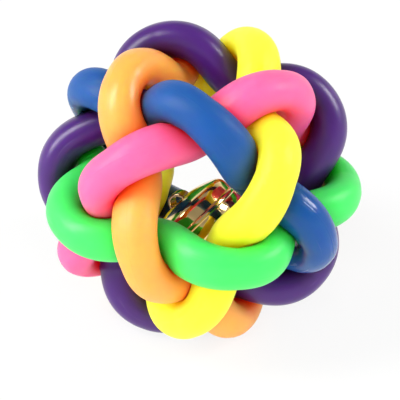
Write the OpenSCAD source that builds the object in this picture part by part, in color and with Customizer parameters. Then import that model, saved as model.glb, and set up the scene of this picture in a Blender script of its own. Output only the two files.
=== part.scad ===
// Bell ball toy: six rubber rings woven into a hollow ball, with a jingle bell loose inside.
// Millimetres, +Z up, origin at the middle of the ball. The green ring lies level and the ball
// rests on five of its bumps. Each ring waves five times over and five times under its neighbours.

/* [Rings] */
// Thickness of the round rubber cord that each ring is made of
cord_d = 8.1; // [4:0.1:16]
// Room between two cords where they press on each other
cord_gap = 0.15; // [0.05:0.05:1]

/* [Bell] */
// Outside diameter of the bell's shells
bell_d = 20; // [16:0.1:24]
// Thickness of the bell's sheet metal
sheet = 0.45; // [0.3:0.05:0.8]
// Height of the crown, the bell's upper shell, above the seam
crown_h = 6.4; // [5:0.1:8]
// Height of the crown's straight wall above the seam
crown_wall = 2.4; // [1.5:0.1:3]
// Radius of the crown's shoulder
crown_shoulder = 2.2; // [1:0.1:3]
// Radius of the shallow dimple in the crown's top
dimple_r = 4; // [3:0.1:6]
// Depth of the dimple
dimple_h = 0.8; // [0.2:0.1:1.2]
// Depth of the bowl, the bell's lower shell, below the seam
bowl_h = 7; // [5:0.1:9]
// Depth of the bowl's straight wall below the seam
bowl_wall = 0.9; // [0.6:0.1:2]
// Radius where the bowl's wall turns into its bottom
bowl_shoulder = 4.5; // [3:0.1:5]
// Reach of the crimped seam outside the shells
seam_w = 0.8; // [0.6:0.1:1.5]
// Room between the crown's flange and the crimp that holds it
crimp_gap = 0.03; // [0.02:0.01:0.1]

/* [Bell slots] */
// Length of each of the two crossed slots, between the middles of its end holes
slot_len = 12; // [8:0.5:14]
// Width of the slots
slot_w = 1.5; // [0.8:0.1:2.5]
// Diameter of the round hole at each end of a slot
slot_hole_d = 3; // [2:0.1:4]

/* [Hanging loop] */
// Outside width of the loop's arch
loop_span = 5.2; // [4:0.1:7]
// Height of the loop's arch above the dimple
loop_h = 2.6; // [2.4:0.1:5]
// Thickness of the loop's strip
loop_t = 0.7; // [0.6:0.1:1.4]
// Width of the loop's strip
loop_w = 2.6; // [1:0.1:3]
// Reach of each foot that is bent out under the crown
loop_foot = 1.2; // [0.6:0.1:2]
// Room around the loop's legs where they pass through the crown
loop_gap = 0.1; // [0.05:0.05:0.3]

/* [Pellet] */
// Diameter of the steel pellet that rings the bell
pellet_d = 5; // [3.5:0.1:6]
// Room under the pellet where it lies in the bowl
pellet_gap = 0.2; // [0.1:0.05:0.5]

/* [Place of the bell] */
// Where the bell lies, to the right of the middle
bell_x = 0.5; // [-2:0.5:2]
// Where the bell lies, behind the middle
bell_y = -4.5; // [-5:0.5:0]
// How far the bell leans from upright
bell_lean = 55; // [30:1:75]
// Which way the bell leans, counted from +X towards +Y
bell_heading = 153; // [0:1:359]
// Turn of the bell about its own axis
bell_turn = 6; // [0:1:359]
// Room between the bell and the rings that it lies on
bell_gap = 0.25; // [0.1:0.05:1]

/* [Hidden] */
eps = 0.01;

// Spacing of two pressed cords: the weave's lengths grow with it, so that the rings clear each other
cord_pitch = cord_d + cord_gap;
// Waves in one turn of a ring, and the ring's middle radius
waves = 5;
ring_r = 3.237 * cord_pitch;
// How far the cord waves in and out, and how much its crests are flattened
wave_h = 0.539 * cord_pitch;
crest_flat = -0.017 * cord_pitch;
// How far the cord sways to the side once and twice in a wave
side_sway = -0.1055 * cord_pitch;
side_lean = -0.0117 * cord_pitch;
// How far the cord slips along the ring, in degrees
slip_angle = 1.78;
// Angle between the axes of any two rings
axis_angle = atan(2);
// Headings of the five tilted rings' axes
purple_heading = 270;
orange_heading = 342;
blue_heading = 54;
pink_heading = 126;
yellow_heading = 198;
headings = [purple_heading, orange_heading, blue_heading, pink_heading, yellow_heading];

// Stations along a ring, corners of its cord, and the step that gives the cord's direction
stations = 80;
corners = 12;
along_step = 0.1;

// The bell's shells
bell_r = bell_d / 2;
seam_r = bell_r + seam_w;
flange_r = seam_r - sheet - crimp_gap;
lip_r = bell_r + crimp_gap;
lip_z = sheet + crimp_gap;
seam_top = lip_z + sheet;
seam_bottom = -crimp_gap - sheet;
arc_steps = 8;
cap_steps = 12;
shell_fn = 96;
round_fn = 64;
// A shoulder is never larger than the dish that it belongs to
shoulder_limit = 0.85;
crown_k = min(crown_shoulder, shoulder_limit * (crown_h - crown_wall));
bowl_k = min(bowl_shoulder, shoulder_limit * (bowl_h - bowl_wall));
crown_cap = cap_radius(bell_r, crown_k, crown_h - crown_wall);
bowl_cap = cap_radius(bell_r, bowl_k, bowl_h - bowl_wall);

// Directions of the two slots
slot_angles = [45, 135];

// The loop's arch, legs and feet: leg_x is the middle of a leg, out from the bell's axis
loop_r = loop_span / 2;
leg_x = loop_r - loop_t / 2;
arch_z = crown_h - dimple_h + loop_h - loop_r;
foot_z = dish_z(crown_cap, crown_h, loop_r + loop_foot, sheet, dimple_h) - loop_gap;

// The bell's axis, and the height at which the bell lies on the rings
bell_axis = [sin(bell_lean) * cos(bell_heading), sin(bell_lean) * sin(bell_heading), cos(bell_lean)];
probe_step = 3;
drop_steps = 24;
cords = [
    for (t = [0 : probe_step : 360 - probe_step]) each
        concat([strand(t)], [for (h = headings) half_turn(strand(t), ring_pivot(h))])
];
bell_z = lowest(-ring_r, 0, drop_steps);

// The pellet's place in the bowl's lowest corner, as [out from the axis, along the axis]
bowl_turn_angle = asin((bell_r - bowl_k) / (bowl_cap - bowl_k));
down = [sin(bell_lean), -cos(bell_lean)];
pellet_r = pellet_d / 2;
pellet_at = bell_lean < bowl_turn_angle
    ? [0, bowl_cap - bowl_h] + (bowl_cap - sheet - pellet_r - pellet_gap) * down
    : [bell_r - bowl_k, -bowl_wall] + (bowl_k - sheet - pellet_r - pellet_gap) * down;

// Centre line of a level ring at angle t
function strand(t) =
    let (
        reach = ring_r + wave_h * cos(waves * t) + crest_flat * cos(3 * waves * t),
        turn = t + slip_angle * sin(waves * t),
        side = side_sway * sin(waves * t) + side_lean * sin(2 * waves * t)
    )
    [reach * cos(turn), reach * sin(turn), side];

// Direction about which half a turn carries the level ring to the ring whose axis has this heading
function ring_pivot(heading) =
    [sin(axis_angle / 2) * cos(heading), sin(axis_angle / 2) * sin(heading), cos(axis_angle / 2)];

function half_turn(p, pivot) = 2 * (p * pivot) * pivot - p;

function unit(v) = v / norm(v);

// The cord's corners around the centre line at angle t
function cord_section(t) =
    let (
        middle = strand(t),
        along = unit(strand(t + along_step) - strand(t - along_step)),
        out = unit(middle - (middle * along) * along),
        side = cross(along, out)
    )
    [
        for (i = [0 : corners - 1])
            let (a = 360 * i / corners)
            middle + cord_d / 2 * (cos(a) * out + sin(a) * side)
    ];

// Radius of the cap that closes a dish with this wall radius, shoulder and rise
function cap_radius(wall, shoulder, rise) =
    (pow(wall - shoulder, 2) + pow(rise, 2) - pow(shoulder, 2)) / (2 * (rise - shoulder));

function arc(centre, radius, from, to) =
    [
        for (i = [0 : arc_steps])
            let (a = from + (to - from) * i / arc_steps)
            centre + radius * [cos(a), sin(a)]
    ];

// Height of a dish's cap at a distance from its axis, moved in by inset, with a dimple
function dish_z(cap, height, out, inset, dimple) =
    height - cap + sqrt(pow(cap - inset, 2) - pow(out, 2))
        - (out < dimple_r ? dimple * (1 + cos(180 * out / dimple_r)) / 2 : 0);

// Outline of a dish from the top of its wall to its axis, moved in by inset
function dish(wall_h, height, shoulder, cap, inset, dimple) =
    let (
        turn = asin((bell_r - shoulder) / (cap - shoulder)),
        edge = (cap - inset) * sin(turn)
    )
    concat(
        arc([bell_r - shoulder, wall_h], shoulder - inset, 0, 90 - turn),
        [
            for (i = [1 : cap_steps])
                let (out = edge * (1 - i / cap_steps))
                [out, dish_z(cap, height, out, inset, dimple)]
        ]
    );

function reversed(list) = [for (i = [len(list) - 1 : -1 : 0]) list[i]];

// Distance from the bell to a point, both taken from the bell's middle
function bell_distance(p) =
    let (
        along = p * bell_axis,
        out = norm(p - along * bell_axis),
        height = along > 0 ? crown_h : bowl_h,
        k = along > 0 ? crown_k : bowl_k,
        shell = norm([max(out - (bell_r - k), 0), max(abs(along) - (height - k), 0)]) - k,
        seam = norm([max(out - seam_r, 0), max(along - seam_top, seam_bottom - along, 0)])
    )
    min(shell, seam);

function bell_room(z) = min([for (p = cords) bell_distance(p - [bell_x, bell_y, z])]) - cord_d / 2;

// Lowest height at which the bell keeps its gap to every ring
function lowest(low, high, steps) =
    steps == 0 ? high :
    let (middle = (low + high) / 2)
    bell_room(middle) < bell_gap ? lowest(middle, high, steps - 1) : lowest(low, middle, steps - 1);

// One rubber ring, level about the Z axis
module level_ring() {
    points = [for (s = [0 : stations - 1]) each cord_section(360 * s / stations)];
    faces = [
        for (s = [0 : stations - 1], i = [0 : corners - 1])
            let (
                here = s * corners,
                next = ((s + 1) % stations) * corners,
                j = (i + 1) % corners
            )
            each [[here + i, next + i, here + j], [here + j, next + i, next + j]]
    ];
    polyhedron(points, faces);
}

// A ring whose axis leans from +Z towards the given heading
module tilted_ring(heading) {
    rotate(a = 180, v = ring_pivot(heading))
        level_ring();
}

module green_ring() {
    color("limegreen") level_ring();
}

module purple_ring() {
    color("rebeccapurple") tilted_ring(purple_heading);
}

module orange_ring() {
    color("sandybrown") tilted_ring(orange_heading);
}

module blue_ring() {
    color("royalblue") tilted_ring(blue_heading);
}

module pink_ring() {
    color("hotpink") tilted_ring(pink_heading);
}

module yellow_ring() {
    color("yellow") tilted_ring(yellow_heading);
}

// Carries a piece of the bell from its own axis to where the bell lies
module in_bell() {
    translate([bell_x, bell_y, bell_z])
        rotate([0, bell_lean, bell_heading])
            children();
}

// Upper shell: domed crown with a flat flange at the seam, and a hole for each of the loop's legs
module bell_crown() {
    outside = concat(
        [[bell_r - sheet, 0], [flange_r, 0], [flange_r, sheet], [bell_r, sheet]],
        dish(crown_wall, crown_h, crown_k, crown_cap, 0, dimple_h)
    );
    inside = dish(crown_wall, crown_h, crown_k, crown_cap, sheet, dimple_h);
    color("gold") in_bell() rotate([0, 0, bell_turn]) difference() {
        rotate_extrude($fn = shell_fn)
            polygon(concat(outside, reversed(inside)));
        for (x = [-leg_x, leg_x])
            translate([x, 0, crown_wall])
                linear_extrude(height = crown_h)
                    square([loop_t + 2 * loop_gap, loop_w + 2 * loop_gap], center = true);
    }
}

// Lower shell: bowl with a crimped seam around the crown's flange, and two crossed slots
module bell_bowl() {
    outside = concat(
        [
            [bell_r - sheet, -crimp_gap], [flange_r + crimp_gap, -crimp_gap],
            [flange_r + crimp_gap, lip_z], [lip_r, lip_z], [lip_r, seam_top],
            [seam_r, seam_top], [seam_r, seam_bottom], [bell_r, seam_bottom]
        ],
        [for (p = dish(bowl_wall, bowl_h, bowl_k, bowl_cap, 0, 0)) [p[0], -p[1]]]
    );
    inside = [for (p = dish(bowl_wall, bowl_h, bowl_k, bowl_cap, sheet, 0)) [p[0], -p[1]]];
    color("gold") in_bell() rotate([0, 0, bell_turn]) difference() {
        rotate_extrude($fn = shell_fn)
            polygon(concat(outside, reversed(inside)));
        for (a = slot_angles) rotate([0, 0, a]) {
            translate([-slot_len / 2, -slot_w / 2, -bowl_h - eps])
                cube([slot_len, slot_w, bowl_h - bowl_wall]);
            for (side = [-1, 1])
                translate([side * slot_len / 2, 0, -bowl_h - eps])
                    cylinder(d = slot_hole_d, h = bowl_h - bowl_wall, $fn = round_fn);
        }
    }
}

// Hanging loop: a strip bent into an arch, with its legs through the crown and its feet bent out inside
module bell_loop() {
    color("gold") in_bell() rotate([0, 0, bell_turn])
        rotate([90, 0, 0])
            linear_extrude(height = loop_w, center = true) {
                translate([0, arch_z]) difference() {
                    circle(r = loop_r, $fn = round_fn);
                    circle(r = loop_r - loop_t, $fn = round_fn);
                    translate([-loop_span, -loop_span])
                        square([2 * loop_span, loop_span]);
                }
                for (side = [-1, 1]) {
                    translate([side * leg_x, (arch_z + foot_z - loop_t) / 2])
                        square([loop_t, arch_z - foot_z + loop_t], center = true);
                    translate([side * (leg_x + loop_foot / 2), foot_z - loop_t / 2])
                        square([loop_t + loop_foot, loop_t], center = true);
                }
            }
}

// Steel pellet, lying in the lowest corner of the bowl
module bell_pellet() {
    color("silver") in_bell()
        translate([pellet_at[0], 0, pellet_at[1]])
            sphere(r = pellet_r, $fn = round_fn);
}

green_ring();
purple_ring();
orange_ring();
blue_ring();
pink_ring();
yellow_ring();
bell_crown();
bell_bowl();
bell_loop();
bell_pellet();
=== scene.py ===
"""Bell ball toy: six woven rubber rings with a jingle bell loose inside, modelled on its CAD frame.

Metres, +Z up, origin at the middle of the ball. Each ring and each piece of the bell stands for the
CAD node of the same name and rides on that node's body.
"""

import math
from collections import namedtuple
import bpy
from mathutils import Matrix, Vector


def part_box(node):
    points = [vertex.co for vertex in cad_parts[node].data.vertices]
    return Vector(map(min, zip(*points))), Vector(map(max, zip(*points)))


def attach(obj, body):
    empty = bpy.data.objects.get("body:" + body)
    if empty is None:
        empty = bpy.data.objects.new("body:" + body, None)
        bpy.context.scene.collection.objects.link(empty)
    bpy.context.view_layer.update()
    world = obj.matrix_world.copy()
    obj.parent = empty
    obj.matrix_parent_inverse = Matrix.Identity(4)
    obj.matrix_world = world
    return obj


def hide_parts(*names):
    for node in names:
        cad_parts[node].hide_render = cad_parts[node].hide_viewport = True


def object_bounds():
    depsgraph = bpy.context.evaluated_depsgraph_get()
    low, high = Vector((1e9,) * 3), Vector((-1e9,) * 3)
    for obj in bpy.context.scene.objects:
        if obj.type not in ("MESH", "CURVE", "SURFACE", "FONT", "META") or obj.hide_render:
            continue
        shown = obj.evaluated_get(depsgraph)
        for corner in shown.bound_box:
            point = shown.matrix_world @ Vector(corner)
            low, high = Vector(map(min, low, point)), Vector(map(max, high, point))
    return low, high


bl_info = {
    "name": "Bell Ball Toy",
    "version": (1, 0, 0),
    "blender": (4, 5, 0),
    "location": "3D View > Sidebar > Bell Ball",
    "description": "Models a ball of woven rubber rings with a jingle bell inside",
    "category": "Add Mesh",
}

import bmesh
import bpy
from mathutils import Euler, Matrix, Vector, kdtree, noise

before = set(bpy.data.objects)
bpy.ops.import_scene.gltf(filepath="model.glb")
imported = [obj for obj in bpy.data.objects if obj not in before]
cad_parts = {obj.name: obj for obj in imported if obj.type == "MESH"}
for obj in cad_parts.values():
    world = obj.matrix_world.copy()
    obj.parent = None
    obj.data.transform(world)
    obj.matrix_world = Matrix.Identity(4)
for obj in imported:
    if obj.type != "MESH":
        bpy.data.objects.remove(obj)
cad_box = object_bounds()

MM = 0.001
FULL_TURN = 2 * math.pi

# The weave, as shares of the spacing of two pressed cords: ring radius, wave, flattened crest, side sways
# and half a cord
WAVES = 5
RING_SHARE = 3.237
WAVE_SHARE = 0.539
CREST_SHARE = -0.017
SWAY_SHARE = -0.1055
LEAN_SHARE = -0.0117
HALF_CORD_SHARE = 0.5
# How far the strand slips along its ring between a bump and a dip
SLIP = math.radians(1.78)
# Half the angle between the axes of two rings
PIVOT_LEAN = math.atan(2) / 2

# Fineness of the meshes
RING_STATIONS = 480
CORD_SIDES = 64
NEIGHBOUR_STATIONS = 900
PRESS_STEPS = 4
SHELL_STEPS = 160
ARC_STEPS = 12
CAP_STEPS = 28
HOLE_SIDES = 48
BEND_STEPS = 24
STRIP_EDGE_STEPS = 5
PELLET_STEPS = 5
FLOOR_SIDES = 96
# Angle to each side of a station over which the cord's direction is taken
STATION_STEP = 0.002
# How strongly a cord's corners gather at its parting lines, from 0 to 1
GATHER = 0.62
# Corners closer than this are welded, on a new shape and on a cut one, and thinner slivers are removed
WELD = 0.001 * MM
CUT_WELD = 0.0005 * MM
SLIVER = 0.0001 * MM
# Edges sharper than this stay crisp
CRISP_ANGLE = math.radians(32)

# Bends of the loop as a share of the room around its legs, and its rounded edges as a share of its thickness
BEND_SHARE = 0.8
STRIP_ROUND_SHARE = 0.3
# How far the slot cutters reach past the bottom of the bowl
CUT_PAST = 0.01 * MM
# Depth and size of the pellet's dents, as shares of its radius
DENT_DEPTH_SHARE = 0.02
DENT_SIZE_SHARE = 0.5

# name, heading of the ring's axis (None is level) and where its ends are joined, both in degrees,
# then how rough its lower and its upper part are, gloss, scuffs, and how many millimetres light
# travels in the rubber
Ring = namedtuple("Ring", "name heading splice rough_low rough_high gloss scuffs depth")
RINGS = (
    Ring("green", None, 36, 0.38, 0.38, 0.38, 0.25, 6.0),
    Ring("purple", 270, 51.7, 0.32, 0.32, 0.56, 0.35, 1.5),
    Ring("orange", 342, 108, 0.48, 0.31, 0.42, 0.3, 8.0),
    Ring("blue", 54, 180, 0.17, 0.48, 0.34, 1.0, 2.0),
    Ring("pink", 126, 252, 0.50, 0.40, 0.36, 0.2, 8.0),
    Ring("yellow", 198, 180, 0.46, 0.46, 0.28, 0.2, 8.0),
)

# name, place, width and height in metres, the setting that holds its power, and whether gloss mirrors it
Softbox = namedtuple("Softbox", "name place width height power mirrored")
SOFTBOXES = (
    Softbox("left softbox", (-0.74, -0.20, 0.62), 0.34, 0.80, "left_light", True),
    Softbox("right softbox", (0.79, 0.12, 0.595), 0.22, 0.38, "right_light", True),
    Softbox("front fill", (0, -0.80, 0.50), 0.90, 0.70, "front_light", False),
)


def length(name, description, default):
    """A length in metres."""
    return bpy.props.FloatProperty(
        name=name, description=description, default=default,
        min=0, precision=5, subtype="DISTANCE", unit="LENGTH",
    )


def degrees(name, description, default):
    """An angle, given in degrees and kept in radians."""
    return bpy.props.FloatProperty(
        name=name, description=description, default=math.radians(default), subtype="ANGLE", unit="ROTATION"
    )


def colour(name, description, default):
    """A linear colour."""
    return bpy.props.FloatVectorProperty(
        name=name, description=description, default=default, size=3, min=0, max=1, subtype="COLOR"
    )


def amount(name, description, default):
    """A plain number from 0 upwards."""
    return bpy.props.FloatProperty(name=name, description=description, default=default, min=0)


class RingSettings(bpy.types.PropertyGroup):
    """Sizes and colours of the rubber rings"""

    ball_radius: length("Ball radius", "Reach of a ring's bumps from the middle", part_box("green_ring")[1].x)
    cord_gap: length("Cord gap", "Room between two cords that press on each other", 0.15 * MM)
    parting_height: length("Parting line height", "How proud the mould's parting line stands", 0.05 * MM)
    parting_width: length("Parting line width", "Width of the mould's parting line", 0.22 * MM)
    splice_height: length("Splice height", "How proud the joint of a ring's ends stands", 0.20 * MM)
    splice_width: length("Splice width", "Width of the joint of a ring's ends", 0.75 * MM)
    skin_inset: length("Skin inset", "How far the skin lies inside the cord's full size", 0.12 * MM)
    oval: amount("Oval", "How much wider than deep the cord is, as a share", 0.08)
    fill: length("Fill", "How far the cord swells into the small three-sided gaps of the weave", 0.95 * MM)
    touch: length("Touch", "Room left where two cords press on each other", 0.02 * MM)
    ease: length("Ease", "How softly a cord starts to flatten where it presses on its neighbour", 0.2 * MM)
    # Painted shade: each rubber has a shaded copy of its colour, which is painted in towards a neighbour from
    # the shade reach on
    shade_reach: length("Shade reach", "Distance from a neighbour at which the colour starts to deepen", 3.5 * MM)
    green: colour("Green", "Colour of the green rubber", (0.062, 0.70, 0.14))
    green_deep: colour("Shaded green", "Colour of the green rubber in the creases", (0.040, 0.62, 0.060))
    purple: colour("Purple", "Colour of the purple rubber", (0.064, 0.008, 0.172))
    purple_deep: colour("Shaded purple", "Colour of the purple rubber in the creases", (0.016, 0.002, 0.026))
    orange: colour("Orange", "Colour of the orange rubber", (0.97, 0.385, 0.078))
    orange_deep: colour("Shaded orange", "Colour of the orange rubber in the creases", (0.97, 0.19, 0.024))
    blue: colour("Blue", "Colour of the blue rubber", (0.006, 0.084, 0.318))
    blue_deep: colour("Shaded blue", "Colour of the blue rubber in the creases", (0.004, 0.050, 0.095))
    pink: colour("Pink", "Colour of the pink rubber", (0.96, 0.135, 0.33))
    pink_deep: colour("Shaded pink", "Colour of the pink rubber in the creases", (0.96, 0.050, 0.105))
    yellow: colour("Yellow", "Colour of the yellow rubber", (0.97, 0.86, 0.045))
    yellow_deep: colour("Shaded yellow", "Colour of the yellow rubber in the creases", (0.97, 0.80, 0.030))


class BellSettings(bpy.types.PropertyGroup):
    """Sizes, place and colours of the jingle bell"""

    shell_radius: length("Shell radius", "Outside radius of the shells", 10 * MM)
    sheet: length("Sheet", "Thickness of the sheet metal", 0.45 * MM)
    crown_height: length("Crown height", "Height of the upper shell above the seam", 6.4 * MM)
    crown_wall: length("Crown wall", "Height of the crown's straight wall", 2.4 * MM)
    crown_shoulder: length("Crown shoulder", "Radius of the crown's shoulder", 2.2 * MM)
    dimple_radius: length("Dimple radius", "Radius of the dimple in the crown", 4 * MM)
    dimple_depth: length("Dimple depth", "Depth of the dimple in the crown", 0.8 * MM)
    bowl_height: length("Bowl height", "Depth of the lower shell below the seam", 7 * MM)
    bowl_wall: length("Bowl wall", "Depth of the bowl's straight wall", 0.9 * MM)
    bowl_shoulder: length("Bowl shoulder", "Radius where the bowl's wall turns in", 4.5 * MM)
    seam_width: length("Seam width", "Reach of the crimped seam outside the shells", 0.8 * MM)
    seam_round: length("Seam rounding", "Radius of the crimped seam's edges", 0.54 * MM)
    crimp_gap: length("Crimp gap", "Room between the crown's flange and the crimp", 0.03 * MM)
    slot_length: length("Slot length", "Length of each crossed slot between its end holes", 12 * MM)
    slot_width: length("Slot width", "Width of the crossed slots", 1.5 * MM)
    slot_hole: length("Slot hole", "Diameter of the hole at each end of a slot", 3 * MM)
    loop_span: length("Loop span", "Outside width of the loop's arch", 5.2 * MM)
    loop_height: length("Loop height", "Height of the loop above the dimple", 2.6 * MM)
    loop_thickness: length("Loop thickness", "Thickness of the loop's strip", 0.7 * MM)
    loop_width: length("Loop width", "Width of the loop's strip", 2.6 * MM)
    loop_foot: length("Loop foot", "Reach of the feet bent out under the crown", 1.2 * MM)
    loop_gap: length("Loop gap", "Room around the loop's legs in the crown", 0.1 * MM)
    lean: degrees("Lean", "How far the bell leans from upright", 55)
    heading: degrees("Heading", "Which way the bell leans, from +X towards +Y", 153)
    turn: degrees("Turn", "Turn of the bell about its own axis", 6)
    gold: colour("Gold", "Colour of the polished brass", (0.95, 0.69, 0.30))
    tarnish: colour("Tarnish", "Colour of handled brass", (0.72, 0.45, 0.15))
    # Painted shade: the loop's brass is darkened to stand for the shade and dark reflections it has inside
    # the ball
    browned: colour("Browned brass", "Colour of the hanging loop", (0.34, 0.24, 0.12))
    steel: colour("Steel", "Colour of the pellet's steel", (0.60, 0.60, 0.62))
    stain: colour("Stain", "Colour of the dull stains on the pellet and the loop", (0.33, 0.30, 0.28))


class StageSettings(bpy.types.PropertyGroup):
    """Camera, floor and light"""

    distance: length("Camera distance", "From the middle of the ball to the camera", 257.2 * MM)
    azimuth: degrees("Camera azimuth", "Camera's heading, from -Y towards +X", 2.04)
    elevation: degrees("Camera elevation", "Camera's height above the level", 34.32)
    roll: degrees("Camera roll", "Roll of the camera", 2.23)
    lens: amount("Lens", "Focal length in millimetres on a 36 mm sensor", 107.43)
    floor_colour: colour("Floor colour", "Colour of the pale floor", (0.80, 0.80, 0.80))
    ceiling: amount("Ceiling light", "Strength of the light from straight above, where the walls are 1", 0.30)
    left_light: amount("Left softbox", "Power of the broad softbox at the left, in watts", 9.0)
    right_light: amount("Right softbox", "Power of the small softbox at the right, in watts", 4.4)
    front_light: amount("Front fill", "Power of the large fill at the front, in watts", 7.0)


def add_object(name, data):
    """A new object in the scene."""
    thing = bpy.data.objects.new(name, data)
    bpy.context.scene.collection.objects.link(thing)
    return thing


def mesh_object(name, bm):
    """A new object in the scene with a finished bmesh for its mesh."""
    mesh = bpy.data.meshes.new(name)
    bm.to_mesh(mesh)
    bm.free()
    return add_object(name, mesh)


def add_piece(bm, name, material, body):
    """Turns a finished bmesh into a piece that stands for the CAD node of the same name."""
    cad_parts[name].name = name + "_cad"
    piece = mesh_object(name, bm)
    piece.data.materials.append(material)
    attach(piece, body)
    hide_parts(name)


def shade_smooth(bm, crisp=CRISP_ANGLE):
    """Smooth faces, with a crisp line where two faces meet at more than the crisp angle."""
    for face in bm.faces:
        face.smooth = True
    for edge in bm.edges:
        edge.smooth = edge.calc_face_angle(0) < crisp


# Rubber rings

class Weave:
    """The wavy centre line that all six rings share."""

    def __init__(self, settings):
        reach_share = RING_SHARE + WAVE_SHARE + CREST_SHARE + HALF_CORD_SHARE
        pitch = (settings.ball_radius + settings.cord_gap / 2) / reach_share
        self.cord_r = (pitch - settings.cord_gap) / 2
        self.ring_r = RING_SHARE * pitch
        self.wave = WAVE_SHARE * pitch
        self.crest = CREST_SHARE * pitch
        self.sway = SWAY_SHARE * pitch
        self.lean = LEAN_SHARE * pitch

    def strand(self, angle):
        """Centre line of a level ring."""
        wave = WAVES * angle
        reach = self.ring_r + self.wave * math.cos(wave) + self.crest * math.cos(3 * wave)
        turn = angle + SLIP * math.sin(wave)
        side = self.sway * math.sin(wave) + self.lean * math.sin(2 * wave)
        return Vector((reach * math.cos(turn), reach * math.sin(turn), side))

    def axes(self, angle):
        """Centre of the cord, and the directions out of the ball and to the side."""
        middle = self.strand(angle)
        along = (self.strand(angle + STATION_STEP) - self.strand(angle - STATION_STEP)).normalized()
        out = (middle - middle.dot(along) * along).normalized()
        return middle, out, along.cross(out)

    def neighbours(self):
        """Centre lines of the five tilted rings around the level one. Every ring has the same neighbours."""
        lines = []
        for turned in [ring_turn(ring) for ring in RINGS if ring.heading is not None]:
            line = kdtree.KDTree(NEIGHBOUR_STATIONS)
            for i in range(NEIGHBOUR_STATIONS):
                line.insert(turned @ self.strand(FULL_TURN * i / NEIGHBOUR_STATIONS), i)
            line.balance()
            lines.append(line)
        return lines


def ring_turn(ring):
    """The turn that takes the level ring to this one: half a turn about an axis midway between theirs."""
    if ring.heading is None:
        return Matrix.Identity(3)
    pivot = Euler((0, PIVOT_LEAN, math.radians(ring.heading))).to_matrix() @ Vector((0, 0, 1))
    return Matrix.Rotation(math.pi, 3, pivot)


def hump(offset, width):
    """A rounded ridge that is 1 at its middle and has all but faded out at its width."""
    return math.exp(-((2 * offset / width) ** 2))


def eased_min(first, second, ease):
    """The lesser of two lengths, rounded off where they are closer than the ease."""
    overlap = max(0, ease - abs(first - second))
    return min(first, second) - overlap**2 / (4 * ease)


def wrapped(angle):
    """The same angle from minus half a turn to half a turn."""
    return (angle + math.pi) % FULL_TURN - math.pi


def cord_torus(weave):
    """A round cord spun into a plain torus."""
    bm = bmesh.new()
    place = Matrix.Translation((weave.ring_r, 0, 0)) @ Matrix.Rotation(math.pi / 2, 4, "X")
    bmesh.ops.create_circle(bm, segments=CORD_SIDES, radius=weave.cord_r, matrix=place)
    bmesh.ops.spin(
        bm, geom=bm.verts[:] + bm.edges[:],
        axis=(0, 0, 1), angle=FULL_TURN, steps=RING_STATIONS, use_merge=True,
    )
    return bm


def free_radius(weave, settings, angle, corner):
    """Radius of the cord where nothing presses on it, by the angle along the ring and around the cord."""
    from_line = weave.cord_r * wrapped(2 * corner) / 2
    bare = weave.cord_r - settings.skin_inset - settings.parting_height
    radius = bare * (1 + settings.oval * math.sin(corner) ** 2)
    radius += settings.parting_height * hump(from_line, settings.parting_width)
    radius += settings.fill * max(0, -math.sin(corner) * math.sin(WAVES * angle))
    return radius


def bent_ring(weave, settings):
    """Bends a torus along the weave, pressed flat where it meets its neighbours."""
    bm = cord_torus(weave)
    turn_layer = bm.verts.layers.float.new("turn")
    shade_mask_layer = bm.verts.layers.float.new("pressed")
    neighbours = weave.neighbours()
    around = {}
    stations = {}
    for vert in bm.verts:
        angle = math.atan2(vert.co.y, vert.co.x)
        section = math.atan2(vert.co.z, math.hypot(vert.co.x, vert.co.y) - weave.ring_r)
        around[vert] = (angle, section)
        key = round(angle * RING_STATIONS / FULL_TURN)
        middle, out, side = stations.get(key) or stations.setdefault(key, weave.axes(angle))
        # Corners gather at the parting lines, on the outermost and innermost line of the cord
        corner = section - GATHER / 2 * math.sin(2 * section)
        towards = math.cos(corner) * out + math.sin(corner) * side
        radius = free_radius(weave, settings, angle, corner)
        for _ in range(PRESS_STEPS):
            rooms = [line.find(middle + radius * towards)[2] for line in neighbours]
            limits = [(radius + room - settings.touch) / 2 for room in rooms]
            for limit in limits:
                radius = eased_min(radius, limit, settings.ease)
        vert.co = middle + radius * towards
        vert[turn_layer] = angle
        # Mask for painted shade: 1 where a neighbour touches, fading out at the shade reach
        presses = [hump(max(0, room - weave.cord_r), 2 * settings.shade_reach) for room in rooms]
        vert[shade_mask_layer] = 1 - math.prod(1 - press for press in presses)
    unroll(bm, around)
    bmesh.ops.recalc_face_normals(bm, faces=bm.faces)
    shade_smooth(bm, crisp=math.pi)
    return bm


def unroll(bm, around):
    """Gives the cord a UV map that runs along the ring and around the cord, a turn being 1."""
    uv = bm.loops.layers.uv.new("strand")
    for face in bm.faces:
        first_angle, first_section = around[face.loops[0].vert]
        for loop in face.loops:
            angle, section = around[loop.vert]
            along = first_angle + wrapped(angle - first_angle)
            across = first_section + wrapped(section - first_section)
            loop[uv].uv = (along / FULL_TURN, across / FULL_TURN)


def placed_ring(bent, weave, settings, ring):
    """A copy of the bent ring with the splice of this ring's ends, turned to its place in the ball."""
    bm = bent.copy()
    turn_layer = bm.verts.layers.float["turn"]
    for vert in bm.verts:
        from_splice = weave.ring_r * wrapped(vert[turn_layer] - math.radians(ring.splice))
        ridge = settings.splice_height * hump(from_splice, settings.splice_width)
        vert.co += ridge * (vert.co - weave.strand(vert[turn_layer])).normalized()
    bm.verts.layers.float.remove(turn_layer)
    bmesh.ops.rotate(bm, verts=bm.verts, cent=(0, 0, 0), matrix=ring_turn(ring))
    return bm


class BELLBALL_OT_rings(bpy.types.Operator):
    """Weave the six rubber rings into a ball"""

    bl_idname = "bellball.rings"
    bl_label = "Weave Rubber Rings"

    def execute(self, context):
        settings = context.scene.bell_ball_rings
        weave = Weave(settings)
        bent = bent_ring(weave, settings)
        for ring in RINGS:
            tint = getattr(settings, ring.name)
            painted_shade = getattr(settings, f"{ring.name}_deep")
            bm = placed_ring(bent, weave, settings, ring)
            material = rubber_material(ring, tint, painted_shade)
            add_piece(bm, f"{ring.name}_ring", material, "cage")
        bent.free()
        return {"FINISHED"}


# Jingle bell

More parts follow.
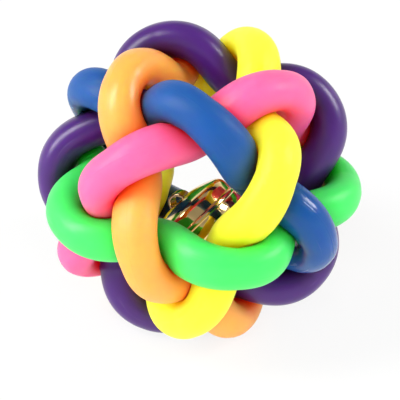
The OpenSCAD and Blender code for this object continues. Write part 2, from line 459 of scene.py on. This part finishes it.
class Dish:
    """Section of a shell, with a wall, a shoulder arc and a cap. Heights are counted from the seam."""

    def __init__(self, radius, wall, shoulder, height, dimple_radius=0, dimple_depth=0):
        rise = height - wall
        self.radius, self.wall, self.shoulder, self.height = radius, wall, shoulder, height
        self.cap = ((radius - shoulder) ** 2 + rise**2 - shoulder**2) / (2 * (rise - shoulder))
        self.turn = math.asin((radius - shoulder) / (self.cap - shoulder))
        self.dimple_radius, self.dimple_depth = dimple_radius, dimple_depth

    def cap_height(self, out, inset):
        """Height of the cap at a distance from the axis."""
        height = self.height - self.cap + math.sqrt((self.cap - inset) ** 2 - out**2)
        if out < self.dimple_radius:
            height -= self.dimple_depth * (1 + math.cos(math.pi * out / self.dimple_radius)) / 2
        return height

    def outline(self, inset):
        """Points from the top of the wall to the axis, moved in by inset."""
        centre = (self.radius - self.shoulder, self.wall)
        points = arc(centre, self.shoulder - inset, 0, math.pi / 2 - self.turn)
        edge = (self.cap - inset) * math.sin(self.turn)
        for i in range(1, CAP_STEPS + 1):
            out = edge * (1 - i / CAP_STEPS)
            points.append((out, self.cap_height(out, inset)))
        return points


def arc(centre, radius, start, end):
    """Points on an arc in the shell's section."""
    angles = [start + (end - start) * i / ARC_STEPS for i in range(ARC_STEPS + 1)]
    return [(centre[0] + radius * math.cos(a), centre[1] + radius * math.sin(a)) for a in angles]


def crown_dish(bell):
    """Section of the upper shell."""
    return Dish(
        bell.shell_radius, bell.crown_wall, bell.crown_shoulder, bell.crown_height,
        bell.dimple_radius, bell.dimple_depth,
    )


def bowl_dish(bell):
    """Section of the lower shell, with its depth counted as height."""
    return Dish(bell.shell_radius, bell.bowl_wall, bell.bowl_shoulder, bell.bowl_height)


def bell_place(bell):
    """Carries the bell from its own axis to where it lies, by the rim of its seam in the frame."""
    turned = Euler((0, bell.lean, bell.heading)).to_matrix()
    axis = turned @ Vector((0, 0, 1))
    low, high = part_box("bell_bowl")
    rim_radius = bell.shell_radius + bell.seam_width
    rim_height = 2 * bell.sheet + bell.crimp_gap
    middle = Vector()
    for i in range(3):
        sign = 1 if axis[i] > 0 else -1
        edge = high[i] if sign > 0 else low[i]
        middle[i] = edge - rim_height * axis[i] - sign * rim_radius * math.sqrt(1 - axis[i] ** 2)
    spin = Matrix.Rotation(bell.turn, 4, "Z")
    return Matrix.Translation(middle) @ turned.to_4x4() @ spin


def spun_shell(outline):
    """Spins a closed section about the Z axis."""
    bm = bmesh.new()
    verts = [bm.verts.new((out, 0, up)) for out, up in outline]
    edges = [bm.edges.new((verts[i - 1], verts[i])) for i in range(len(verts))]
    bmesh.ops.spin(
        bm, geom=verts + edges, axis=(0, 0, 1), angle=FULL_TURN, steps=SHELL_STEPS, use_merge=True
    )
    bmesh.ops.remove_doubles(bm, verts=bm.verts, dist=WELD)
    bmesh.ops.dissolve_degenerate(bm, dist=SLIVER, edges=bm.edges)
    bmesh.ops.recalc_face_normals(bm, faces=bm.faces)
    return bm


def cut(bm, cutters):
    """Cuts each of the closed cutter shapes out of a shell."""
    shell = mesh_object("shell", bm)
    tools = [mesh_object("cutter", cutter) for cutter in cutters]
    for tool in tools:
        modifier = shell.modifiers.new("cut", "BOOLEAN")
        modifier.operation = "DIFFERENCE"
        modifier.solver = "EXACT"
        modifier.object = tool
    bpy.context.view_layer.update()
    evaluated = shell.evaluated_get(bpy.context.evaluated_depsgraph_get())
    result = bmesh.new()
    result.from_mesh(evaluated.to_mesh())
    for thing in [shell, *tools]:
        mesh = thing.data
        bpy.data.objects.remove(thing)
        bpy.data.meshes.remove(mesh)
    bmesh.ops.remove_doubles(result, verts=result.verts, dist=CUT_WELD)
    return result


def box_shape(middle, size):
    """A closed box."""
    bm = bmesh.new()
    bmesh.ops.create_cube(bm, size=1, matrix=Matrix.Translation(middle) @ Matrix.Diagonal((*size, 1)))
    return bm


def add_bell_piece(bm, bell, name, material):
    """Carries a bell piece to its place and adds it to the bell."""
    bmesh.ops.transform(bm, matrix=bell_place(bell), verts=bm.verts)
    shade_smooth(bm)
    add_piece(bm, name, material, "bell")


class BELLBALL_OT_crown(bpy.types.Operator):
    """Make the bell's upper shell, with a hole for each leg of the loop"""

    bl_idname = "bellball.crown"
    bl_label = "Make Bell Crown"

    def execute(self, context):
        bell = context.scene.bell_ball_bell
        dish = crown_dish(bell)
        inner = bell.shell_radius - bell.sheet
        flange = bell.shell_radius + bell.seam_width - bell.sheet - bell.crimp_gap
        foot = [(inner, 0), (flange, 0), (flange, bell.sheet), (bell.shell_radius, bell.sheet)]
        bm = spun_shell(foot + dish.outline(0) + dish.outline(bell.sheet)[::-1])
        leg = bell.loop_span / 2 - bell.loop_thickness / 2
        room = 2 * bell.loop_gap
        hole = (bell.loop_thickness + room, bell.loop_width + room, bell.crown_height)
        holes = [box_shape((side * leg, 0, bell.crown_height), hole) for side in (-1, 1)]
        add_bell_piece(cut(bm, holes), bell, "bell_crown", brass_material(bell))
        return {"FINISHED"}


class BELLBALL_OT_bowl(bpy.types.Operator):
    """Make the bell's lower shell, with its crimped seam and crossed slots"""

    bl_idname = "bellball.bowl"
    bl_label = "Make Bell Bowl"

    def execute(self, context):
        bell = context.scene.bell_ball_bell
        dish = bowl_dish(bell)
        outside = [(out, -up) for out, up in dish.outline(0)]
        inside = [(out, -up) for out, up in dish.outline(bell.sheet)]
        bm = spun_shell(crimped_seam(bell) + outside + inside[::-1])
        add_bell_piece(cut(bm, slot_cutters(bell)), bell, "bell_bowl", brass_material(bell))
        return {"FINISHED"}


def crimped_seam(bell):
    """Section of the bowl's rim, folded around the crown's flange, from the inside out and down."""
    rim = bell.shell_radius + bell.seam_width
    pocket = rim - bell.sheet
    pocket_bottom = -bell.crimp_gap
    pocket_top = bell.sheet + bell.crimp_gap
    top = pocket_top + bell.sheet
    bottom = pocket_bottom - bell.sheet
    lip = bell.shell_radius + bell.crimp_gap
    lip_round = bell.sheet / 2
    edge = bell.seam_round
    inner = bell.shell_radius - bell.sheet
    seam = [(inner, pocket_bottom), (pocket, pocket_bottom), (pocket, pocket_top)]
    seam += arc((lip + lip_round, top - lip_round), lip_round, -math.pi / 2, -3 * math.pi / 2)
    seam += arc((rim - edge, top - edge), edge, math.pi / 2, 0)
    seam += arc((rim - edge, bottom + edge), edge, 0, -math.pi / 2)
    seam += [(bell.shell_radius, bottom)]
    return seam


def slot_cutters(bell):
    """The two crossed slots and the round holes at their ends."""
    depth = bell.bowl_height - bell.bowl_wall
    hole_r = bell.slot_hole / 2
    middle = Vector((0, 0, -bell.bowl_height + depth / 2 - CUT_PAST))
    cutters = []
    for angle in (math.pi / 4, 3 * math.pi / 4):
        turned = Matrix.Rotation(angle, 3, "Z")
        slot = box_shape(middle, (bell.slot_length, bell.slot_width, depth))
        bmesh.ops.rotate(slot, verts=slot.verts, cent=(0, 0, 0), matrix=turned)
        cutters.append(slot)
        for side in (-1, 1):
            place = middle + turned @ Vector((side * bell.slot_length / 2, 0, 0))
            hole = bmesh.new()
            bmesh.ops.create_cone(
                hole, cap_ends=True, segments=HOLE_SIDES, radius1=hole_r, radius2=hole_r,
                depth=depth, matrix=Matrix.Translation(place),
            )
            cutters.append(hole)
    return cutters


class BELLBALL_OT_loop(bpy.types.Operator):
    """Bend the strip of the bell's hanging loop"""

    bl_idname = "bellball.loop"
    bl_label = "Bend Bell Loop"

    def execute(self, context):
        bell = context.scene.bell_ball_bell
        add_bell_piece(loop_strip(bell), bell, "bell_loop", shaded_loop_material(bell))
        return {"FINISHED"}


def loop_strip(bell):
    """A strip with rounded edges, from one foot up a leg, over the arch and down to the other foot."""
    thickness = bell.loop_thickness
    span = bell.loop_span / 2
    bend = bell.loop_gap * BEND_SHARE
    foot_top = crown_dish(bell).cap_height(span + bell.loop_foot, bell.sheet) - bell.loop_gap
    arch = bell.crown_height - bell.dimple_depth + bell.loop_height - span
    corner = foot_top + bend
    strip = bmesh.new()
    tip = Matrix.Translation((-span - bell.loop_foot, 0, foot_top - thickness / 2))
    upright = Matrix.Rotation(math.pi / 2, 4, "Y") @ Matrix.Diagonal((thickness, bell.loop_width, 1, 1))
    bmesh.ops.create_grid(strip, x_segments=1, y_segments=1, size=0.5, matrix=tip @ upright)
    bmesh.ops.bevel(
        strip, geom=strip.verts[:], offset=STRIP_ROUND_SHARE * thickness, segments=STRIP_EDGE_STEPS,
        profile=0.5, affect="VERTICES", material=-1,
    )
    bmesh.ops.delete(strip, geom=strip.faces[:], context="FACES_ONLY")
    first = strip.edges[:]

    def push(edges, move):
        made = bmesh.ops.extrude_edge_only(strip, edges=edges)["geom"]
        bmesh.ops.translate(strip, vec=move, verts=[g for g in made if isinstance(g, bmesh.types.BMVert)])
        return [g for g in made if isinstance(g, bmesh.types.BMEdge)]

    def turn(edges, centre, angle):
        verts = list({v for e in edges for v in e.verts})
        made = bmesh.ops.spin(
            strip, geom=verts + edges, cent=centre, axis=(0, 1, 0), angle=angle, steps=BEND_STEPS
        )["geom_last"]
        return [g for g in made if isinstance(g, bmesh.types.BMEdge)]

    edges = push(first, (bell.loop_foot - bend, 0, 0))
    edges = turn(edges, (-span - bend, 0, corner), -math.pi / 2)
    edges = push(edges, (0, 0, arch - corner))
    edges = turn(edges, (0, 0, arch), math.pi)
    edges = push(edges, (0, 0, corner - arch))
    edges = turn(edges, (span + bend, 0, corner), -math.pi / 2)
    last = push(edges, (bell.loop_foot - bend, 0, 0))
    bmesh.ops.edgeloop_fill(strip, edges=first)
    bmesh.ops.edgeloop_fill(strip, edges=last)
    bmesh.ops.remove_doubles(strip, verts=strip.verts, dist=WELD)
    bmesh.ops.recalc_face_normals(strip, faces=strip.faces)
    if abs(strip.calc_volume()) < thickness**2 * bell.loop_width:
        raise RuntimeError("the loop's strip didn't close")
    return strip


class BELLBALL_OT_pellet(bpy.types.Operator):
    """Make the steel pellet, with the dents that a stamped ball has"""

    bl_idname = "bellball.pellet"
    bl_label = "Make Steel Pellet"

    def execute(self, context):
        bell = context.scene.bell_ball_bell
        low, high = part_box("bell_pellet")
        radius = (high.z - low.z) / 2
        bm = bmesh.new()
        bmesh.ops.create_icosphere(bm, subdivisions=PELLET_STEPS, radius=radius)
        for vert in bm.verts:
            worn = max(0.0, noise.noise(vert.co / (DENT_SIZE_SHARE * radius)))
            vert.co *= 1 - DENT_DEPTH_SHARE * worn
        bmesh.ops.translate(bm, vec=(low + high) / 2, verts=bm.verts)
        shade_smooth(bm)
        add_piece(bm, "bell_pellet", steel_material(bell), "pellet")
        return {"FINISHED"}


# Materials

WHITE = (1, 1, 1, 1)
# What both node groups put out
SKIN_OUTPUTS = (("Colour", "Color"), ("Roughness", "Float"), ("Height", "Float"))
# Sockets of a colour Mix node, by number because those for plain numbers have the same names
MIX_SHARE, MIX_FIRST, MIX_SECOND, MIX_RESULT = 0, 6, 7, 2
RELIEF_STRENGTH = 0.6

# Patterns of the rubber, in noise waves per metre
CLOUD_SCALE = 140
PATCH_SCALE = 95
SPECK_SCALE = 700
PIT_SCALE = 1300
GRAIN_SCALE = 2600
# Noise waves of the drag marks: the radius of the circle they follow along a ring, and those around the cord
DRAG_ALONG = 3.0
DRAG_ACROSS = 54.0
# Noise values between which each mark fades in
DRAG_RANGE = (0.60, 0.74)
PATCH_RANGE = (0.50, 0.66)
SPECK_RANGE = (0.90, 0.94)
CLOUD_SHADE_RANGE = (0.35, 0.75)
CLOUD_ROUGH_RANGE = (0.3, 0.7)
# How much each mark adds to the share of the painted shade colour, the dust, the roughness and the relief;
# the cloud's share is random mottling
CLOUD_SHADE = (0.0, 0.12)
SCUFF_DUST = 0.12
SPECK_DUST = 0.25
CLOUD_ROUGH = (-0.03, 0.04)
SCUFF_ROUGH = 0.16
GRAIN_HEIGHT = 0.16
PIT_HEIGHT = 1.1
SCUFF_DEPTH = 0.9
# How late the painted shade deepens towards a neighbour, and how close to it the painted contact shadow lies
PAINTED_SHADE_POWER = 1.6
PAINTED_SHADOW_POWER = 12.0
# Heights between which a ring goes over from its lower roughness to its upper one
ROUGH_HEIGHTS = (10.5 * MM, 14.0 * MM)
# The dust's colour, as white and as a share of the rubber's own
DUST_WHITE = 0.55
DUST_TINT = 0.35
# Least share of the depth that light of any colour travels
LEAST_TRAVEL = 0.08

# Smudges and scratches of the metal
SMUDGE_SCALE = 260
SMUDGE_RANGE = (0.42, 0.72)
SMUDGE_ROUGH = 0.14
SCRATCH_TURN = (0.4, 0.9, 0.2)
SCRATCH_SCALES = (300, 5200, 900)
SCRATCH_RANGE = (0.66, 0.76)
SCRATCH_ROUGH = 0.06


class Nodes:
    """Adds nodes to a tree and links them."""

    def __init__(self, tree):
        self.tree = tree

    def add(self, kind, values=(), **settings):
        """A node with these settings. Its inputs, by name or number, get values or links to sockets."""
        node = self.tree.nodes.new(kind if kind.startswith("Node") else f"ShaderNode{kind}")
        for key, value in settings.items():
            setattr(node, key, value)
        for key, value in dict(values).items():
            if isinstance(value, bpy.types.NodeSocket):
                self.tree.links.new(value, node.inputs[key])
            else:
                node.inputs[key].default_value = value
        return node

    def math(self, operation, *values):
        """The result of a math node."""
        return self.add("Math", enumerate(values), operation=operation).outputs[0]

    def noise(self, where, scale, detail):
        """A noise pattern from 0 to 1."""
        return self.add("TexNoise", {"Vector": where, "Scale": scale, "Detail": detail}).outputs["Fac"]

    def between(self, value, low, high, to_low=0.0, to_high=1.0):
        """Maps a range of values smoothly to another range."""
        names = ("Value", "From Min", "From Max", "To Min", "To Max")
        values = dict(zip(names, (value, low, high, to_low, to_high)))
        return self.add("MapRange", values, interpolation_type="SMOOTHSTEP").outputs["Result"]

    def mix(self, share, first, second, blend="MIX"):
        """A mix of two colours."""
        values = {MIX_SHARE: share, MIX_FIRST: first, MIX_SECOND: second}
        return self.add("Mix", values, data_type="RGBA", blend_type=blend).outputs[MIX_RESULT]


def fresh_nodes(owner):
    """An empty node tree for a material or a world."""
    owner.use_nodes = True
    owner.node_tree.nodes.clear()
    return Nodes(owner.node_tree)


def new_group(name, inputs):
    """An empty shader node group with these inputs, as pairs of name and kind."""
    group = bpy.data.node_groups.new(name, "ShaderNodeTree")
    for direction, sockets in (("INPUT", inputs), ("OUTPUT", SKIN_OUTPUTS)):
        for socket, kind in sockets:
            group.interface.new_socket(socket, in_out=direction, socket_type=f"NodeSocket{kind}")
    return group, Nodes(group)


def rubber_skin():
    """Moulded rubber: cloudy colour, drag marks along the cord, a fine skin, and painted shade with a painted
    contact shadow towards a neighbour.
    """
    if "Rubber skin" in bpy.data.node_groups:
        return bpy.data.node_groups["Rubber skin"]
    group, nodes = new_group("Rubber skin", (
        ("Colour", "Color"), ("Deep colour", "Color"), ("Dust colour", "Color"), ("Pressed", "Float"),
        ("Low roughness", "Float"), ("High roughness", "Float"), ("Scuffs", "Float"),
    ))
    given = nodes.add("NodeGroupInput").outputs
    coords = nodes.add("TexCoord").outputs
    place = coords["Object"]
    cloud = nodes.noise(place, CLOUD_SCALE, 3)
    grain = nodes.noise(place, GRAIN_SCALE, 1)

    # Drag marks run along the cord, in patches
    strand = nodes.add("SeparateXYZ", {"Vector": coords["UV"]}).outputs
    turn = nodes.math("MULTIPLY", strand["X"], FULL_TURN)
    drawn = nodes.add("CombineXYZ", {
        "X": nodes.math("MULTIPLY", nodes.math("COSINE", turn), DRAG_ALONG),
        "Y": nodes.math("MULTIPLY", nodes.math("SINE", turn), DRAG_ALONG),
        "Z": nodes.math("MULTIPLY", strand["Y"], DRAG_ACROSS),
    }).outputs[0]
    drag = nodes.between(nodes.noise(drawn, 1, 2), *DRAG_RANGE)
    patch = nodes.between(nodes.noise(place, PATCH_SCALE, 2), *PATCH_RANGE)
    scuffed = nodes.math("MULTIPLY", nodes.math("MULTIPLY", drag, patch), given["Scuffs"])

    # Painted shade: the colour goes over to its shaded copy towards a neighbour, with a painted contact
    # shadow deepest where the cords meet
    painted_shade = nodes.math("POWER", given["Pressed"], PAINTED_SHADE_POWER)
    painted_shade = nodes.math("ADD", painted_shade, nodes.between(cloud, *CLOUD_SHADE_RANGE, *CLOUD_SHADE))
    pigment_and_shade = nodes.mix(nodes.math("MINIMUM", painted_shade, 1.0), given["Colour"], given["Deep colour"])
    speck = nodes.between(nodes.noise(place, SPECK_SCALE, 0), *SPECK_RANGE)
    dust = nodes.math("MULTIPLY", scuffed, SCUFF_DUST)
    dust = nodes.math("ADD", dust, nodes.math("MULTIPLY", speck, SPECK_DUST))
    dusty = nodes.mix(dust, pigment_and_shade, given["Dust colour"])
    painted_contact_shadow = nodes.mix(1.0, given["Deep colour"], given["Deep colour"], "MULTIPLY")
    with_painted_shadow = nodes.mix(nodes.math("POWER", given["Pressed"], PAINTED_SHADOW_POWER), dusty, painted_contact_shadow)

    up = nodes.add("SeparateXYZ", {"Vector": place}).outputs["Z"]
    rough = nodes.between(up, *ROUGH_HEIGHTS, given["Low roughness"], given["High roughness"])
    rough = nodes.math("ADD", rough, nodes.between(cloud, *CLOUD_ROUGH_RANGE, *CLOUD_ROUGH))
    rough = nodes.math("ADD", rough, nodes.math("MULTIPLY", scuffed, SCUFF_ROUGH))

    pitted = nodes.math("MULTIPLY", nodes.noise(place, PIT_SCALE, 1), given["Scuffs"])
    height = nodes.math("MULTIPLY", grain, GRAIN_HEIGHT)
    height = nodes.math("ADD", height, nodes.math("MULTIPLY", pitted, PIT_HEIGHT))
    height = nodes.math("SUBTRACT", height, nodes.math("MULTIPLY", scuffed, SCUFF_DEPTH))
    nodes.add("NodeGroupOutput", {"Colour": with_painted_shadow, "Roughness": rough, "Height": height})
    return group


def handled_metal():
    """Polished metal that has been handled: smudges, tarnish and hairline scratches."""
    if "Handled metal" in bpy.data.node_groups:
        return bpy.data.node_groups["Handled metal"]
    group, nodes = new_group("Handled metal", (
        ("Colour", "Color"), ("Tarnish", "Color"), ("Roughness", "Float"), ("Wear", "Float"),
    ))
    given = nodes.add("NodeGroupInput").outputs
    place = nodes.add("TexCoord").outputs["Object"]
    smudge = nodes.between(nodes.noise(place, SMUDGE_SCALE, 3), *SMUDGE_RANGE)
    stretch = {"Vector": place, "Rotation": SCRATCH_TURN, "Scale": SCRATCH_SCALES}
    stretched = nodes.add("Mapping", stretch).outputs[0]
    scratch = nodes.between(nodes.noise(stretched, 1, 1), *SCRATCH_RANGE)
    worn = nodes.math("MULTIPLY", smudge, given["Wear"])
    tinted = nodes.mix(worn, given["Colour"], given["Tarnish"])
    rough = nodes.math("ADD", given["Roughness"], nodes.math("MULTIPLY", worn, SMUDGE_ROUGH))
    rough = nodes.math("ADD", rough, nodes.math("MULTIPLY", scratch, SCRATCH_ROUGH))
    height = nodes.math("MULTIPLY", scratch, -1.0)
    nodes.add("NodeGroupOutput", {"Colour": tinted, "Roughness": rough, "Height": height})
    return group


def surface_material(name, group, values, relief, constants, attributes=()):
    """A material whose colour, roughness and height come from a node group, over fixed shader values.

    Relief is the length that a height of 1 stands for. Attributes pairs an input of the group with the
    mesh attribute that feeds it.
    """
    material = bpy.data.materials.new(name)
    nodes = fresh_nodes(material)
    fed = {key: nodes.add("Attribute", attribute_name=source).outputs["Fac"] for key, source in attributes}
    skin = nodes.add("Group", {**values, **fed}, node_tree=group).outputs
    bump = nodes.add("Bump", {"Height": skin["Height"], "Distance": relief, "Strength": RELIEF_STRENGTH})
    surface = {"Base Color": skin["Colour"], "Roughness": skin["Roughness"], "Normal": bump.outputs[0]}
    shader = nodes.add("BsdfPrincipled", {**surface, **constants})
    nodes.add("OutputMaterial", {"Surface": shader.outputs[0]})
    return material


def rubber_material(ring, tint, painted_shade):
    """Soft, slightly translucent rubber. Light of the rubber's own colour travels furthest in it."""
    dust = [DUST_WHITE + DUST_TINT * c for c in tint]
    values = {
        "Colour": (*tint, 1),
        # Shaded copy of the colour, painted in towards a neighbour as painted shade
        "Deep colour": (*painted_shade, 1),
        "Dust colour": (*dust, 1),
        "Low roughness": ring.rough_low,
        "High roughness": ring.rough_high,
        "Scuffs": ring.scuffs,
    }
    constants = {
        "Subsurface Weight": 1.0,
        "Subsurface Radius": [max(c, LEAST_TRAVEL) for c in tint],
        "Subsurface Scale": ring.depth * MM,
        "Specular IOR Level": ring.gloss,
        "IOR": 1.5,
    }
    # The mesh attribute pressed carries the mask for painted shade near a neighbour
    pressed = (("Pressed", "pressed"),)
    return surface_material(f"{ring.name} rubber", rubber_skin(), values, 0.05 * MM, constants, pressed)


def metal_material(name, tint, tarnish, roughness, wear, relief):
    """Handled metal of these colours."""
    values = {"Colour": (*tint, 1), "Tarnish": (*tarnish, 1), "Roughness": roughness, "Wear": wear}
    return surface_material(name, handled_metal(), values, relief, {"Metallic": 1.0})


def brass_material(bell):
    """Polished gold brass, shared by the bell's two shells."""
    if "gold brass" in bpy.data.materials:
        return bpy.data.materials["gold brass"]
    return metal_material("gold brass", bell.gold, bell.tarnish, roughness=0.06, wear=0.3, relief=0.004 * MM)


def shaded_loop_material(bell):
    """Brass strip darkened as painted shade: its colour stands for the shade and dark reflections the loop
    has inside the ball.
    """
    return metal_material(
        "browned brass", bell.browned, bell.stain, roughness=0.12, wear=0.5, relief=0.004 * MM
    )


def steel_material(bell):
    """Bright steel with dull stains."""
    return metal_material("pellet steel", bell.steel, bell.stain, roughness=0.22, wear=0.7, relief=0.01 * MM)


# Stage

FLOOR_RADIUS = 4.0
# Share of the floor's own shade, with the ball's shadow on it, in what the camera sees of it
SHADOW_SHARE = 0.2
# How steeply one looks up where the white walls start to darken and where the ceiling is reached, as sines
WALL_HEIGHTS = (0.05, 0.65)
# Width of the camera's sensor in millimetres, as the lens counts it, and where its view starts
SENSOR_WIDTH = 36
CLIP_START = 0.01


def seen(nodes):
    """1 for rays from the camera, a mirror or a clear surface, and 0 for the rest."""
    path = nodes.add("LightPath").outputs
    clear = nodes.math("MAXIMUM", path["Is Glossy Ray"], path["Is Transmission Ray"])
    return nodes.math("MAXIMUM", path["Is Camera Ray"], clear)


def studio_sky(stage):
    """White walls all around that darken towards the ceiling."""
    world = bpy.data.worlds.new("studio")
    nodes = fresh_nodes(world)
    direction = nodes.add("TexCoord").outputs["Generated"]
    height = nodes.add("SeparateXYZ", {"Vector": direction}).outputs["Z"]
    level = nodes.between(height, *WALL_HEIGHTS, 1.0, stage.ceiling)
    sky = nodes.add("Background", {"Color": WHITE, "Strength": level})
    nodes.add("OutputWorld", {"Surface": sky.outputs[0]})
    bpy.context.scene.world = world


def floor_material(tint):
    """A pale floor that looks white and keeps a light shadow."""
    material = bpy.data.materials.new("pale floor")
    nodes = fresh_nodes(material)
    matt = nodes.add("BsdfDiffuse", {"Color": (*tint, 1)})
    white = nodes.add("Emission", {"Color": WHITE, "Strength": 1.0})
    share = nodes.math("MULTIPLY", seen(nodes), 1 - SHADOW_SHARE)
    mixed = nodes.add("MixShader", {0: share, 1: matt.outputs[0], 2: white.outputs[0]})
    nodes.add("OutputMaterial", {"Surface": mixed.outputs[0]})
    return material


def add_softbox(box, power):
    """A rectangular area light that faces the ball."""
    light = bpy.data.lights.new(box.name, "AREA")
    light.shape = "RECTANGLE"
    light.size = box.width
    light.size_y = box.height
    light.energy = power
    lamp = add_object(box.name, light)
    lamp.location = box.place
    lamp.rotation_euler = (-Vector(box.place)).to_track_quat("-Z", "Y").to_euler()
    lamp.visible_glossy = box.mirrored


def photo_camera(stage):
    """The camera at the photograph's angle. The ball's middle lies at middle_px in a frame of frame_px."""
    frame_px = 400
    middle_px = (199.0, 180.94)
    camera = bpy.data.cameras.new("camera")
    camera.sensor_width = SENSOR_WIDTH
    camera.lens = stage.lens
    camera.shift_x = 0.5 - middle_px[0] / frame_px
    camera.shift_y = middle_px[1] / frame_px - 0.5
    camera.clip_start = CLIP_START
    turned = Matrix.Rotation(stage.azimuth, 4, "Z") @ Matrix.Rotation(math.pi / 2 - stage.elevation, 4, "X")
    placed = turned @ Matrix.Rotation(stage.roll, 4, "Z") @ Matrix.Translation((0, 0, stage.distance))
    holder = add_object("camera", camera)
    holder.matrix_world = placed
    bpy.context.scene.camera = holder


class BELLBALL_OT_stage(bpy.types.Operator):
    """Set up the floor, the light and the camera"""

    bl_idname = "bellball.stage"
    bl_label = "Set Up Stage"

    def execute(self, context):
        stage = context.scene.bell_ball_stage
        context.scene.view_settings.view_transform = "Standard"
        bm = bmesh.new()
        level = Matrix.Translation((0, 0, cad_box[0].z))
        bmesh.ops.create_circle(bm, cap_ends=True, segments=FLOOR_SIDES, radius=FLOOR_RADIUS, matrix=level)
        floor = mesh_object("floor", bm)
        floor.data.materials.append(floor_material(stage.floor_colour))
        studio_sky(stage)
        for box in SOFTBOXES:
            add_softbox(box, getattr(stage, box.power))
        photo_camera(stage)
        return {"FINISHED"}


class BELLBALL_PT_panel(bpy.types.Panel):
    """Lists the stage and the pieces of the bell ball in the order in which they are made"""

    bl_label = "Bell Ball"
    bl_idname = "BELLBALL_PT_panel"
    bl_space_type = "VIEW_3D"
    bl_region_type = "UI"
    bl_category = "Bell Ball"

    def draw(self, context):
        for operator in OPERATORS:
            self.layout.operator(operator.bl_idname)


OPERATORS = (
    BELLBALL_OT_stage,
    BELLBALL_OT_rings,
    BELLBALL_OT_crown,
    BELLBALL_OT_bowl,
    BELLBALL_OT_loop,
    BELLBALL_OT_pellet,
)
SETTINGS = {"bell_ball_rings": RingSettings, "bell_ball_bell": BellSettings, "bell_ball_stage": StageSettings}


def register():
    """Makes the settings, the operators and the panel known to Blender."""
    for settings in SETTINGS.values():
        bpy.utils.register_class(settings)
    for name, settings in SETTINGS.items():
        setattr(bpy.types.Scene, name, bpy.props.PointerProperty(type=settings))
    for cls in (*OPERATORS, BELLBALL_PT_panel):
        bpy.utils.register_class(cls)


def unregister():
    """Takes back what register added."""
    for cls in (BELLBALL_PT_panel, *reversed(OPERATORS)):
        bpy.utils.unregister_class(cls)
    for name, settings in SETTINGS.items():
        delattr(bpy.types.Scene, name)
        bpy.utils.unregister_class(settings)


def main():
    """Builds the stage and the ball."""
    register()
    bpy.ops.bellball.stage()
    bpy.ops.bellball.rings()
    bpy.ops.bellball.crown()
    bpy.ops.bellball.bowl()
    bpy.ops.bellball.loop()
    bpy.ops.bellball.pellet()


if __name__ == "__main__":
    main()
